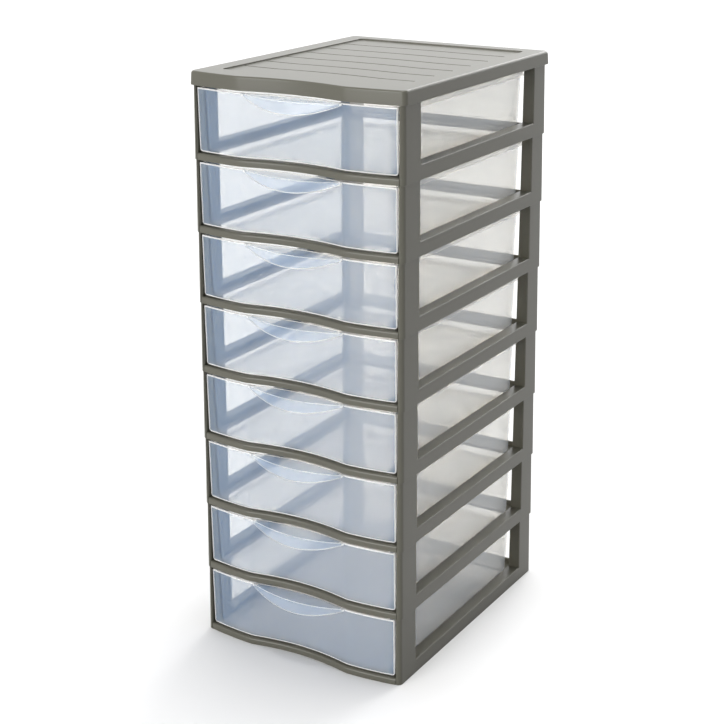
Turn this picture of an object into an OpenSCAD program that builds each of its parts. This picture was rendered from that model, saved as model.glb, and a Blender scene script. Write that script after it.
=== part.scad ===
// Plastic drawer tower: eight open tiers stacked under a lid, each with a clear sliding drawer.
// Millimetres, +Z up, front towards -Y. The origin is on the floor, under the middle of the
// box round the whole tower. Tiers and drawers are counted from the floor up.

/* [Tier] */
// Outer width of a tier at its foot
tier_w = 250; // [220:1:300]
// Depth of a tier from its front corners to its back
tier_d = 318; // [260:1:400]
// Height that each tier adds to the stack
tier_h = 77; // [66:1:100]
// How far each outer side leans in from foot to top
tier_taper = 1.2; // [0:0.1:1.5]
// Wall of the moulded frame
frame_wall = 2.4; // [2:0.1:3]

/* [Front curve] */
// Radius of the hollow middle of the front
hollow_r = 235; // [200:5:320]
// Angle at which the outer parts of the front run forward from the corners
flare_angle = 11.1; // [9:0.1:13]
// Radius of the outer parts, which bow forward
flare_r = 390; // [300:10:600]
// Forward step of the corners from the deepest point of the hollow
corner_step = 0.4; // [0:0.1:3]
// Softness of the two crests between hollow and outer parts
crest_soft = 1; // [0.5:0.1:4]

/* [Posts] */
// Width of a front post as seen from the front
front_post_face = 6; // [5:0.1:8]
// Width of a front post behind the drawer front
front_post_w = 8.8; // [8.6:0.1:10]
// Depth of a front post along the side
front_post_d = 33.5; // [26:0.5:45]
// How far the post's step for the drawer front lies behind the front corner
post_step = 7.5; // [7:0.5:10]
// Width of a rear post as seen from behind
rear_post_w = 14; // [13.6:0.1:20]
// Depth of a rear post along the side
rear_post_d = 31; // [24:0.5:45]
// Radius of the front corners
front_corner_r = 5.8; // [3:0.1:6]
// Radius of the rear corners
rear_corner_r = 4; // [2:0.5:6]
// Height of the spigot on each post
spigot_h = 3.5; // [2:0.5:6]

/* [Rails] */
// Height of the front rail
front_rail_h = 7.3; // [5:0.1:8]
// Depth of the front rail's top
front_rail_d = 10; // [8:0.5:10]
// Height of the side rails
side_rail_h = 15.5; // [13:0.5:22]
// Width of a side rail's top ledge
ledge_w = 13.8; // [13:0.1:16]
// How far the drawer runner reaches in from the ledge
runner_w = 7; // [4:0.5:12]
// Height of the runner's top
runner_z = 9; // [8.5:0.1:11]
// Height of the rear rail
rear_rail_h = 9; // [6:0.5:14]
// Depth of the rear rail's foot
rear_rail_d = 22; // [8:0.5:24]
// Thickness of the rails' ledges and flanges
ledge_t = 2.2; // [1.6:0.1:2.8]

/* [Lid] */
// Height of the lid
lid_h = 14.4; // [12:0.2:20]
// How far the lid stands out past the tier below, on each side
lid_lip = 1.6; // [0.5:0.1:3]
// How far the lid's sides lean in from lip to top
lid_lean = 0.6; // [0:0.1:1.5]
// Radius of the lid's top edges at the sides and back
lid_side_r = 4.5; // [2:0.5:6]
// Radius of the lid's top edge at the front
lid_front_r = 2; // [1:0.5:4]
// Border beside the sunken panel
panel_side = 20.5; // [16:0.5:35]
// Border behind the sunken panel
panel_rear = 18; // [14:0.5:30]
// Border in front of the sunken panel, from the front corners
panel_front = 24; // [18:0.5:40]
// Depth of the sunken panel
panel_sink = 1.6; // [0.8:0.1:2.5]
// Radius of the panel's corners
panel_r = 5; // [2:1:20]
// Number of slats in the panel
slat_count = 7; // [3:1:12]
// Width of the groove between two slats
groove_w = 3; // [0.6:0.1:3.6]

/* [Drawer] */
// Gap between the drawer's top and the tier above
drawer_top_gap = 2.2; // [1.5:0.1:5]
// Gap between the drawer front and each front post
front_play = 1.8; // [0.5:0.1:2.2]
// Play between the rim or tray and what guides it, on each side
side_play = 0.8; // [0.4:0.1:1.5]
// Running gap between the drawer and its runners
run_gap = 0.3; // [0.2:0.05:0.6]
// Gap between the closed rim and the rear posts
stop_gap = 0.4; // [0.3:0.1:1]
// Wall of the tray
tray_wall = 1.6; // [1.2:0.1:2]
// Thickness of the drawer front
front_t = 1.8; // [1.4:0.1:2.4]
// How far the drawer front's top lies behind the front rail's face
front_set_top = 1.2; // [0.6:0.1:2]
// How far the drawer front's foot lies behind the front rail's face
front_set_foot = 3; // [2:0.1:4.4]
// How far the drawer front reaches down past the tray's floor
front_drop = 0.5; // [0.2:0.1:1]
// Radius of the drawer front's lower corners
front_foot_r = 3.5; // [1:0.5:6]
// How far each tray side leans out from floor to rim
tray_lean = 2; // [0.5:0.1:2.5]
// Radius between the tray's floor and walls
tray_foot_r = 2.5; // [1:0.5:4]
// Radius of the tray's upright corners
tray_corner_r = 7; // [4:0.5:12]
// Width of the rim flange outside the tray walls
rim_w = 3; // [2.4:0.1:3.6]
// Height of the rim's turned-down lip
rim_lip_h = 7; // [3:0.5:8]
// Thickness of the rim's turned-down lip
rim_lip_t = 1.2; // [1:0.1:1.6]

/* [Grip] */
// How far the grip stands out past the crests of the drawer front
grip_reach = 9.8; // [6:0.1:16]
// How far the grip's apron hangs down in the middle
grip_drop = 14; // [10:0.5:20]
// How far the apron's lower edge runs further forward
grip_rake = 1.2; // [0:0.1:3]
// How far the grip's top slopes down to the front in the middle
grip_droop = 2; // [0:0.1:3]
// Depth of the grip's ends at the crests
grip_end_h = 1.5; // [1:0.1:3]
// Thickness of the grip
grip_t = 1.7; // [1.2:0.1:2]
// Length of the solid end at each side of the grip
grip_end = 5; // [4:0.5:8]

/* [Hidden] */
tier_count = 8;
frame_colour = [0.40, 0.39, 0.36];
clear_colour = [0.78, 0.84, 0.88, 0.55];
// Gap round each spigot
spigot_play = 0.3;
// Distance between stations across the front, and steps in a rounded corner
front_step = 6;
corner_steps = 4;
// Chamfer along the grip's front edge
grip_edge = 1.2;
// Radius of corners that lie inside another form
buried_r = 1;
// Depth by which joined forms overlap and cutters stand clear
eps = 0.5;

half_w = tier_w/2;
half_d = tier_d/2;
// The crests lie where the hollow's curve meets the outer parts, the root of a x^2 + b x + c
crest_a = 1/(2*hollow_r) + 1/(2*flare_r);
crest_b = tan(flare_angle) - half_w/flare_r;
crest_c = half_w*half_w/(2*flare_r) - tan(flare_angle)*half_w - corner_step;
crest_x = (sqrt(crest_b*crest_b - 4*crest_a*crest_c) - crest_b)/(2*crest_a);
drawer_z = runner_z + run_gap;
drawer_top = tier_h - drawer_top_gap;
drawer_foot = drawer_z - front_drop;
opening_half_w = half_w - front_post_face;
front_half_w = opening_half_w - front_play;
rim_half_w = half_w - front_post_w - side_play;
tray_half_top = rim_half_w - rim_w;
tray_half_foot = tray_half_top - tray_lean;
tray_reach = tray_half_foot - tray_foot_r - tray_corner_r;
lid_reach = half_w - lid_side_r - front_corner_r;
rear_post_y = half_d - rear_post_d;
rim_rear = rear_post_y - stop_gap;
front_post_y = front_post_d - half_d;
// Crests of the drawer front, and the front of the whole tower at the apron's lower edge
crest_y = front_y(crest_x) + front_set_top;
tower_front = crest_y - grip_reach - grip_rake;
y_shift = -(tower_front + half_d + lid_lip)/2;

// Forward reach of the front at x, from the deepest point of the hollow: the hollow's curve and
// the bowed outer parts, blended softly where they cross
function hollow(x) = x*x/(2*hollow_r);
function outer_part(x) =
    let (from_corner = half_w - abs(x))
    corner_step + tan(flare_angle)*from_corner - from_corner*from_corner/(2*flare_r);
function wave(x) =
    let (a = hollow(x), b = outer_part(x))
    (a + b - sqrt((a - b)*(a - b) + crest_soft*crest_soft))/2;
function front_y(x) = corner_step - half_d - wave(x);

// Stations across the front, which every surface along it shares
function stations(limit) =
    [for (i = [0 : floor((limit - 1)/front_step - 0.5)]) (i + 0.5)*front_step];
function slope_angle(x) = atan(tan(flare_angle) - (half_w - x)/flare_r);

function reverse(list) = [for (i = [len(list) - 1 : -1 : 0]) list[i]];
function spread(from, to, steps) = [for (i = [0 : steps]) from + (to - from)*i/steps];
function arc(centre, r, from, to) =
    [for (a = spread(from, to, corner_steps)) centre + r*[cos(a), sin(a)]];
function flip_x(points) = [for (i = [len(points) - 1 : -1 : 0]) [-points[i][0], points[i][1]]];
function at_z(points, z) = [for (p = points) [p[0], p[1], z]];

// Right front corner of an outline of half width hw whose front is set back by set: a straight
// stretch from the front's last station, x = from_x, and an arc
function front_corner(hw, set, r, from_x) =
    let (a = slope_angle(from_x), y = front_y(from_x) + set + (hw - r - from_x)*tan(a) + r/cos(a))
    arc([hw - r, y], r, a - 90, 0);
function rear_corner(hw, rear, r) = arc([hw - r, rear - r], r, 0, 90);

// Outline in plan with the curved front as far as x = reach, from the middle of the front round
// to the right and back on the left. The back has the same stations as the front.
function plan(hw, set, rear, r_front, r_rear, reach) =
    let (
        xs = stations(reach),
        right = concat(
            [for (x = xs) [x, front_y(x) + set]],
            front_corner(hw, set, r_front, xs[len(xs) - 1]),
            rear_corner(hw, rear, r_rear),
            [for (x = reverse(xs)) [x, rear]]
        )
    )
    concat(right, flip_x(right));
// The convex pieces of that outline, strips from front to back and the two ends, as lists of the
// numbers of their points
function plan_pieces(reach) =
    let (
        last = len(stations(reach)) - 1,
        half = 2*(last + 1) + 2*(corner_steps + 1),
        right = concat(
            [for (i = [0 : last - 1]) [i, i + 1, half - 2 - i, half - 1 - i]],
            [[for (i = [last : half - 1 - last]) i]]
        )
    )
    concat(
        right,
        [[0, half - 1, half, 2*half - 1]],
        [for (piece = right) [for (i = reverse(piece)) 2*half - 1 - i]]
    );

// Solid through rings of points that all run the same way round. Its two ends are made of the
// convex pieces given, or are convex themselves.
module loft(rings, pieces = []) {
    n = len(rings[0]);
    last = len(rings) - 1;
    ends = len(pieces) > 0 ? pieces : [[for (i = [0 : n - 1]) i]];
    polyhedron(
        points = [for (ring = rings) each ring],
        faces = concat(
            ends,
            [for (k = [0 : last - 1], i = [0 : n - 1])
                let (a = k*n + i, b = k*n + (i + 1) % n)
                each [[a, a + n, b + n], [a, b + n, b]]],
            [for (piece = ends) [for (i = reverse(piece)) last*n + i]]
        )
    );
}

module both_sides() {
    children();
    mirror([1, 0, 0]) children();
}

// Box between two corners
module block(low, high) {
    translate(low) cube(high - low);
}

// The hollow in a post's foot, which is also the shape of the spigot that enters it
module front_socket(h, play) {
    block(
        [half_w - front_post_w + frame_wall + play, post_step - half_d + frame_wall + play, 0],
        [half_w - frame_wall - play, front_post_y - frame_wall - play, h]
    );
}

module rear_socket(h, play) {
    block(
        [half_w - rear_post_w + frame_wall + play, rear_post_y + frame_wall + play, 0],
        [half_w - frame_wall - play, half_d - frame_wall - play, h]
    );
}

module front_post() {
    outline = concat(
        [[opening_half_w, front_y(opening_half_w)]],
        front_corner(half_w, 0, front_corner_r, opening_half_w),
        [
            [half_w, front_post_y],
            [half_w - front_post_w, front_post_y],
            [half_w - front_post_w, post_step - half_d],
            [opening_half_w, post_step - half_d]
        ]
    );
    difference() {
        linear_extrude(tier_h) polygon(outline);
        translate([0, 0, -eps]) front_socket(tier_h - frame_wall + eps, 0);
    }
    translate([0, 0, tier_h - eps]) front_socket(spigot_h + eps, spigot_play);
}

module rear_post() {
    outline = concat(
        [[half_w - rear_post_w, rear_post_y], [half_w, rear_post_y]],
        rear_corner(half_w, half_d, rear_corner_r),
        [[half_w - rear_post_w, half_d]]
    );
    difference() {
        linear_extrude(tier_h) polygon(outline);
        translate([0, 0, -eps]) rear_socket(tier_h - frame_wall + eps, 0);
    }
    translate([0, 0, tier_h - eps]) rear_socket(spigot_h + eps, spigot_play);
}

// Slabs that cut the outer sides and the back to their lean
module lean_cuts() {
    angle = atan(tier_taper/tier_h);
    long = tier_w + tier_d;
    both_sides() translate([half_w, -long/2, 0]) rotate([0, -angle, 0])
        translate([0, 0, -tier_h]) cube([tier_h, long, 3*tier_h]);
    translate([-long/2, half_d, 0]) rotate([angle, 0, 0])
        translate([0, 0, -tier_h]) cube([long, tier_h, 3*tier_h]);
}

// Stations from one end of the front to the other, ending at x = -end and x = end
function across(end) = let (xs = stations(end)) concat([-end], -reverse(xs), xs, [end]);
// Band that follows the front, depth deep
function front_band(end, depth) =
    let (xs = across(end))
    concat([for (x = xs) [x, front_y(x)]], [for (x = reverse(xs)) [x, front_y(x) + depth]]);

module front_rail() {
    linear_extrude(front_rail_h) polygon(front_band(opening_half_w, frame_wall));
    translate([0, 0, front_rail_h - ledge_t])
        linear_extrude(ledge_t) polygon(front_band(opening_half_w, front_rail_d));
}

// Upright section of a side rail, extruded from y = from to y = to
module along_side(section, from, to) {
    translate([0, to, 0]) rotate([90, 0, 0]) linear_extrude(to - from) polygon(section);
}

module side_rail() {
    ledge_x = half_w - ledge_w;
    in_post = frame_wall/2;
    along_side(
        [
            [half_w - frame_wall, 0],
            [half_w, 0],
            [half_w, side_rail_h],
            [ledge_x, side_rail_h],
            [ledge_x, side_rail_h - ledge_t],
            [half_w - frame_wall, side_rail_h - ledge_t]
        ],
        front_post_y - in_post,
        rear_post_y + in_post
    );
    along_side(
        [
            [ledge_x - runner_w, runner_z - ledge_t],
            [ledge_x + frame_wall, runner_z - ledge_t],
            [ledge_x + frame_wall, side_rail_h - ledge_t],
            [half_w - front_post_w + in_post, side_rail_h - ledge_t],
            [half_w - front_post_w + in_post, side_rail_h],
            [ledge_x, side_rail_h],
            [ledge_x, runner_z],
            [ledge_x - runner_w, runner_z]
        ],
        post_step - half_d,
        rear_post_y + in_post
    );
}

module rear_rail() {
    in_post = half_w - rear_post_w + frame_wall/2;
    translate([-in_post, 0, 0]) rotate([90, 0, 90]) linear_extrude(2*in_post) polygon([
        [half_d - rear_rail_d, 0],
        [half_d, 0],
        [half_d, rear_rail_h],
        [half_d - frame_wall, rear_rail_h],
        [half_d - frame_wall, ledge_t],
        [half_d - rear_rail_d, ledge_t]
    ]);
}

// Block that joins the front end of a runner to the front rail
module runner_tie() {
    inner = half_w - ledge_w - runner_w;
    outer = half_w - ledge_w + frame_wall;
    block(
        [inner, front_y(outer) + frame_wall/2, front_rail_h - ledge_t],
        [outer, post_step - half_d + frame_wall, front_rail_h]
    );
}

module tier(level) {
    color(frame_colour) translate([0, y_shift, (level - 1)*tier_h]) difference() {
        union() {
            both_sides() {
                front_post();
                rear_post();
                side_rail();
                runner_tie();
            }
            front_rail();
            rear_rail();
        }
        lean_cuts();
    }
}

// Outline of the lid at height z above its lip: the sides lean in and the top edges are round
function edge_in(z, r) =
    let (up = max(0, z - (lid_h - r))) r - sqrt(max(0, r*r - up*up));
function lid_ring(z) =
    let (
        lean = lid_lean*z/lid_h,
        side = edge_in(z, lid_side_r) + lean,
        face = edge_in(z, lid_front_r) + lean
    )
    at_z(
        plan(half_w + lid_lip - side, face - lid_lip, half_d + lid_lip - side,
            front_corner_r, rear_corner_r, lid_reach),
        z
    );

// Sunken panel, with a groove between each two slats
module lid_panel() {
    x = half_w - panel_side;
    front = panel_front - half_d;
    rear = half_d - panel_rear;
    floor_z = lid_h - panel_sink;
    pitch = (rear - front)/slat_count;
    hull() both_sides() {
        translate([x - panel_r, front + panel_r, floor_z]) cylinder(h = lid_h, r = panel_r, $fn = 32);
        translate([x - panel_r, rear - panel_r, floor_z]) cylinder(h = lid_h, r = panel_r, $fn = 32);
    }
    for (i = [1 : slat_count - 1])
        translate([-x, front + i*pitch, floor_z])
            rotate([90, 0, 90])
                linear_extrude(2*x)
                    polygon([[-groove_w/2, eps], [-groove_w/2, 0], [0, -groove_w/2],
                        [groove_w/2, 0], [groove_w/2, eps]]);
}

// Space under the lid between the four sleeves that stand on the posts
module lid_hollow() {
    difference() {
        polygon(plan(half_w + lid_lip - frame_wall, frame_wall - lid_lip,
            half_d + lid_lip - frame_wall, front_corner_r - frame_wall, rear_corner_r - frame_wall/2,
            lid_reach));
        both_sides() {
            translate([half_w - front_post_w, -tier_d]) square([tier_w, tier_d + front_post_y]);
            translate([half_w - rear_post_w, rear_post_y]) square([tier_w, tier_d]);
        }
    }
}

module lid() {
    roof = lid_h - panel_sink - frame_wall;
    rise = spread(lid_h - lid_side_r, lid_h - lid_front_r, 3);
    crown = [for (a = [30 : 30 : 90]) lid_h - lid_front_r*(1 - sin(a))];
    color(frame_colour) translate([0, y_shift, tier_count*tier_h]) difference() {
        loft([for (z = concat([0], rise, crown)) lid_ring(z)], plan_pieces(lid_reach));
        translate([0, 0, -eps]) linear_extrude(roof + eps) lid_hollow();
        both_sides() translate([0, 0, -eps]) {
            front_socket(roof + eps, 0);
            rear_socket(roof + eps, 0);
        }
        lid_panel();
    }
}

// How far the drawer front lies behind the front rail's face at height z
function front_set(z) =
    front_set_foot + (front_set_top - front_set_foot)*(z - drawer_foot)/(drawer_top - drawer_foot);
function tray_half(z) =
    tray_half_foot + tray_lean*(z - drawer_z)/(drawer_top - drawer_z);
function tray_rear(z) = rim_rear - rim_w + tray_half(z) - tray_half_top;

// Outline of the tray at height z, drawn in by inset
function tray_ring(z, inset, front_in) =
    at_z(
        plan(tray_half(z) - inset, front_set(z) + front_in, tray_rear(z) - inset,
            tray_corner_r, tray_corner_r, tray_reach),
        z
    );

module tray_shell() {
    front_in = front_t + eps;
    foot = [for (a = [0 : 45 : 90]) [drawer_z + tray_foot_r*(1 - cos(a)), tray_foot_r*(1 - sin(a))]];
    difference() {
        loft(
            concat(
                [for (f = foot) tray_ring(f[0], f[1], front_t/2 + f[1])],
                [tray_ring(drawer_top, 0, front_t/2)]
            ),
            plan_pieces(tray_reach)
        );
        loft(
            [
                tray_ring(drawer_z + tray_wall, tray_wall + tray_foot_r/2, front_in + tray_foot_r/2),
                tray_ring(drawer_z + tray_wall + tray_foot_r/2, tray_wall, front_in),
                tray_ring(drawer_top + eps, tray_wall, front_in)
            ],
            plan_pieces(tray_reach)
        );
    }
}

// Lower edge of the drawer front at x, which rises round the two corners
function front_foot(x) =
    let (r = front_foot_r, in_corner = max(0, abs(x) - (front_half_w - r)))
    drawer_foot + r - sqrt(r*r - in_corner*in_corner);
function front_section(x) =
    let (foot = front_foot(x), y = front_y(x), low = y + front_set(foot), high = y + front_set_top)
    [
        [x, low, foot],
        [x, high, drawer_top],
        [x, high + front_t, drawer_top],
        [x, low + front_t, foot]
    ];

module drawer_front() {
    r = front_foot_r;
    corner = [for (a = [0 : 30 : 60]) front_half_w - r*(1 - cos(a))];
    middle = reverse(across(front_half_w - r));
    loft([for (x = concat(corner, middle, -reverse(corner))) front_section(x)]);
}

// Flange round the tray's mouth, with its edge turned down; its two arms end inside the front
module rim() {
    rear_r = tray_corner_r + rim_w;
    outer = plan(rim_half_w, front_set_top + front_t/2, rim_rear, buried_r, rear_r, tray_reach);
    mouth = plan(tray_half_top - tray_wall/2, -rim_w, rim_rear - rim_w - tray_wall/2,
        tray_corner_r, tray_corner_r, tray_reach);
    lip_inside = plan(rim_half_w - rim_lip_t, -rim_w, rim_rear - rim_lip_t,
        buried_r, rear_r - rim_lip_t, tray_reach);
    translate([0, 0, drawer_top - tray_wall]) linear_extrude(tray_wall) difference() {
        polygon(outer);
        polygon(mouth);
    }
    translate([0, 0, drawer_top - rim_lip_h]) linear_extrude(rim_lip_h - eps) difference() {
        polygon(outer);
        polygon(lip_inside);
    }
}

// Shape of the grip: 1 in the middle, falling to 0 at the crests
function swell(x) = 1 - pow(x/crest_x, 2);
function grip_front(x) = crest_y - grip_edge/2 - (grip_reach - grip_edge/2)*swell(x);
function grip_top(x) = drawer_top - grip_droop*swell(x);
function grip_foot(x) = drawer_top - grip_end_h - grip_drop*swell(x);
// Middle of the drawer front's thickness at height z
function front_core(x, z) = front_y(x) + front_set(z) + front_t/2;

// Cross-section of the whole grip at x, filled back to the drawer front
function grip_section(x) =
    let (front = grip_front(x), foot = grip_foot(x))
    [
        [x, front_core(x, foot), foot],
        [x, front - grip_rake*swell(x), foot],
        [x, front, grip_top(x) - grip_edge/2],
        [x, front + grip_edge/2, grip_top(x)],
        [x, front_core(x, drawer_top), drawer_top]
    ];

// Cross-section of the finger space behind the apron, open below
function finger_section(x) =
    let (
        root = front_core(x, drawer_top) + front_t,
        front = grip_front(x) + grip_t,
        low = grip_foot(x) - eps
    )
    [
        [x, root, low],
        [x, front - grip_rake*swell(x), low],
        [x, front, grip_top(x) - grip_t],
        [x, root, drawer_top - grip_t]
    ];

module grip() {
    end = crest_x - grip_end;
    difference() {
        loft([for (x = reverse(across(crest_x))) grip_section(x)]);
        loft([for (x = reverse(across(end))) finger_section(x)]);
    }
}

module drawer(level) {
    color(clear_colour) translate([0, y_shift, (level - 1)*tier_h]) {
        tray_shell();
        drawer_front();
        rim();
        grip();
    }
}

tier(1);  // tier_1
tier(2);  // tier_2
tier(3);  // tier_3
tier(4);  // tier_4
tier(5);  // tier_5
tier(6);  // tier_6
tier(7);  // tier_7
tier(8);  // tier_8
lid();
drawer(1);  // drawer_1
drawer(2);  // drawer_2
drawer(3);  // drawer_3
drawer(4);  // drawer_4
drawer(5);  // drawer_5
drawer(6);  // drawer_6
drawer(7);  // drawer_7
drawer(8);  // drawer_8
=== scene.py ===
"""Drawer tower: eight open tiers stacked under a lid, each with a clear drawer.

Metres, +Z up, the front towards -Y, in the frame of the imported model. The file is laid out as an
add-on and run as a script: sizes and looks are properties, each group of like pieces has its
operator, and main() calls the operators in order.
"""

import math

import bpy
import numpy as np
from bpy.props import FloatProperty, FloatVectorProperty, IntProperty, PointerProperty
from mathutils import Euler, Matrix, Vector


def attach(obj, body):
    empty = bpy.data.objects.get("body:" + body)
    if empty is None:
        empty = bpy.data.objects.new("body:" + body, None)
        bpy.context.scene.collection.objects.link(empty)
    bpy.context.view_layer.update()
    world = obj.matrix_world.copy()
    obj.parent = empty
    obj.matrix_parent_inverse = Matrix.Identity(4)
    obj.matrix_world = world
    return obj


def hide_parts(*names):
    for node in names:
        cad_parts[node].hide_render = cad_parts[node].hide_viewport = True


bl_info = {
    "name": "Drawer tower",
    "version": (1, 0, 0),
    "blender": (4, 5, 0),
    "location": "View3D > Sidebar > Drawer tower",
    "description": "Builds a tower of clear drawers, its materials and its stage",
    "category": "Object",
}

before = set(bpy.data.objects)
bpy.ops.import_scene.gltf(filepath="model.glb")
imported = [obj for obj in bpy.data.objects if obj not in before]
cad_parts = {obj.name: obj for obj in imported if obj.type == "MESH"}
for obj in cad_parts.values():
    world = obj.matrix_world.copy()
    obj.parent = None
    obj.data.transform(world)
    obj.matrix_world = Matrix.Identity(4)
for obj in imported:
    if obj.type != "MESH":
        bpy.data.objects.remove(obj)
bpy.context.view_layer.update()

TIERS = 8
SHARP_EDGE = math.radians(32)


def length(name, description, millimetres):
    """Length property with its default given in millimetres."""
    return FloatProperty(
        name=name, description=description, default=millimetres / 1000, precision=4, unit="LENGTH"
    )


def angle(name, description, degrees):
    """Angle property with its default given in degrees."""
    return FloatProperty(
        name=name, description=description, default=math.radians(degrees), unit="ROTATION"
    )


def share(name, description, value):
    """Plain number from 0 to 1."""
    return FloatProperty(
        name=name, description=description, default=value, min=0, max=1, subtype="FACTOR"
    )


def colour(name, description, rgb):
    """Colour property."""
    return FloatVectorProperty(
        name=name, description=description, default=rgb, min=0, max=1, subtype="COLOR"
    )


class TowerSizes(bpy.types.PropertyGroup):
    """Sizes of the tiers and the lid."""

    width: length("Width", "Outer width of a tier at its foot", 250)
    depth: length("Depth", "Depth of a tier from its front corners to its back", 318)
    pitch: length("Pitch", "Height that each tier adds to the stack", 77)
    taper: length("Taper", "How far each outer side leans in from foot to top", 1.2)
    wall: length("Wall", "Wall of the moulded frame", 2.4)
    seam: length("Seam", "Rounding of the edges where two tiers meet", 0.45)
    hollow_radius: length("Hollow", "Radius of the hollow middle of the front", 235)
    flare_angle: angle("Flare", "Angle at which the front runs forward from the corners", 11.1)
    flare_radius: length("Flare radius", "Radius of the outer parts, which bow forward", 390)
    corner_step: length("Corner step", "Forward step of the corners from the hollow", 0.4)
    crest_soft: length("Crest softness", "Softness of the two crests", 1)
    front_face: length("Front post face", "Width of a front post seen from the front", 6)
    front_post: length("Front post", "Width of a front post behind the drawer front", 8.8)
    front_post_depth: length("Front post depth", "Depth of a front post along the side", 33.5)
    post_step: length("Post step", "Depth of the step for the drawer front", 7.5)
    rear_post: length("Rear post", "Width of a rear post", 14)
    rear_post_depth: length("Rear post depth", "Depth of a rear post along the side", 31)
    front_corner: length("Front corner", "Radius of the front corners", 5.8)
    rear_corner: length("Rear corner", "Radius of the rear corners", 4)
    spigot: length("Spigot", "Height of the spigot on each post", 3.5)
    spigot_play: length("Spigot play", "Gap round each spigot", 0.3)
    front_rail: length("Front rail", "Height of the front rail", 7.3)
    front_rail_depth: length("Front rail depth", "Depth of the front rail's top", 10)
    front_rail_round: length("Front rail rounding", "Radius of the front rail's upper edge", 2.4)
    side_rail: length("Side rail", "Height of the side rails", 15.5)
    ledge: length("Ledge", "Width of a side rail's top ledge", 13.8)
    ledge_thick: length("Ledge thickness", "Thickness of ledges and flanges", 2.2)
    runner: length("Runner", "How far the drawer runner reaches in from the ledge", 7)
    runner_top: length("Runner top", "Height of the runner's top", 9)
    rear_rail: length("Rear rail", "Height of the rear rail", 9)
    rear_rail_depth: length("Rear rail depth", "Depth of the rear rail's foot", 22)
    lid_height: length("Lid", "Height of the lid", 14.4)
    lid_lip: length("Lid lip", "How far the lid stands out past the tier below", 1.6)
    lid_lean: length("Lid lean", "How far the lid's sides lean in", 0.6)
    lid_side_round: length("Lid side rounding", "Height of the top rounding at sides and back", 4.5)
    lid_front_round: length(
        "Lid front rounding", "Radius at the front, and the rounding's width all round", 2
    )
    panel_side: length("Panel side", "Border beside the sunken panel", 20.5)
    panel_rear: length("Panel rear", "Border behind the sunken panel", 18)
    panel_front: length("Panel front", "Border in front of the sunken panel", 24)
    panel_corner: length("Panel corner", "Radius of the sunken panel's corners", 5)
    panel_sink: length("Panel sink", "Depth of the sunken panel", 1.6)
    groove: length("Groove", "Width of the grooves between the slats", 3)
    slats: IntProperty(name="Slats", description="Number of slats in the panel", default=7)


class DrawerSizes(bpy.types.PropertyGroup):
    """Sizes of the drawers."""

    top_gap: length("Top gap", "Gap between a drawer's top and the tier above", 2.2)
    run_gap: length("Running gap", "Gap between a drawer and its runners", 0.3)
    front_play: length("Front play", "Gap beside the drawer front", 1.8)
    side_play: length("Side play", "Gap beside the rim", 0.8)
    stop_gap: length("Stop gap", "Gap between the closed rim and the rear posts", 0.4)
    wall: length("Wall", "Wall of the tray", 1.6)
    front_thick: length("Front", "Thickness of the drawer front", 1.8)
    set_top: length("Set-back at the top", "Drawer front behind the rail's face", 1.2)
    set_foot: length("Set-back at the foot", "Drawer front behind the rail's face", 3)
    front_drop: length("Front drop", "Drawer front below the tray's floor", 0.5)
    foot_corner: length("Foot corner", "Radius of the drawer front's lower corners", 3.5)
    lean: length("Lean", "How far each tray side leans out", 2)
    foot_round: length("Foot rounding", "Radius between floor and walls", 2.5)
    corner: length("Corner", "Radius of the tray's upright corners", 7)
    rim: length("Rim", "Width of the rim flange", 3)
    rim_thick: length("Rim lip thickness", "Thickness of the turned-down lip", 1.2)
    side_lip: length("Side lip", "Height of the rim's lip at the sides", 7)
    rear_lip: length("Rear lip", "Height of the rim's lip at the rear", 7)
    reach: length("Grip reach", "How far the grip stands out past the crests", 9.8)
    apron: length("Apron", "How far the grip's apron hangs down in the middle", 14)
    apron_end: length("Apron end", "Height of the apron at its ends", 1.5)
    rake: length("Rake", "How far the apron's lower edge runs forward", 1.2)
    droop: length("Droop", "How far the grip's top slopes down in the middle", 2)
    grip_thick: length("Grip thickness", "Thickness of the grip", 1.7)
    bead_x: length("Bead", "Distance of the floor's two beads from the middle", 85)


class TowerLooks(bpy.types.PropertyGroup):
    """Colours and finish."""

    frame_colour: colour("Frame", "Colour of the tiers and the lid", (0.106, 0.103, 0.082))
    frame_rough: share("Frame roughness", "Roughness of the frame", 0.3)
    frame_gloss: share("Frame gloss", "Specular level of the frame", 0.3)
    clear_colour: colour("Haze", "Colour of the drawers' haze", (0.51, 0.65, 0.91))
    clear_tint: colour("Tint", "Light that passes each drawer surface", (1.0, 0.99, 0.965))
    clear_haze: share("Haze share", "Share of a drawer surface that is haze and gloss", 0.18)
    clear_rough: share("Drawer roughness", "Roughness of the drawers", 0.12)
    matt_colour: colour("Matt haze", "Haze of the floor, rear wall and rim's lip", (0.96, 0.94, 0.95))
    matt_haze: share("Matt share", "Share of a matt surface that is haze", 0.3)
    # These two paint highlights: the drawers' thin edges and the grip's fold get a whiter, nearly
    # opaque haze in place of gathered light and gloss
    painted_highlight_colour: colour("Edge", "Colour of the drawers' bright edges", (0.95, 0.96, 0.98))
    painted_highlight_share: share("Edge share", "Share of an edge painted as a highlight, for light gathered in the plastic", 0.92)
    floor_colour: colour("Floor", "Colour that the floor gives the light", (0.5, 0.5, 0.5))
    floor_seen: colour("Floor as seen", "Colour of the floor in the picture", (0.88, 0.88, 0.88))


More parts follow.
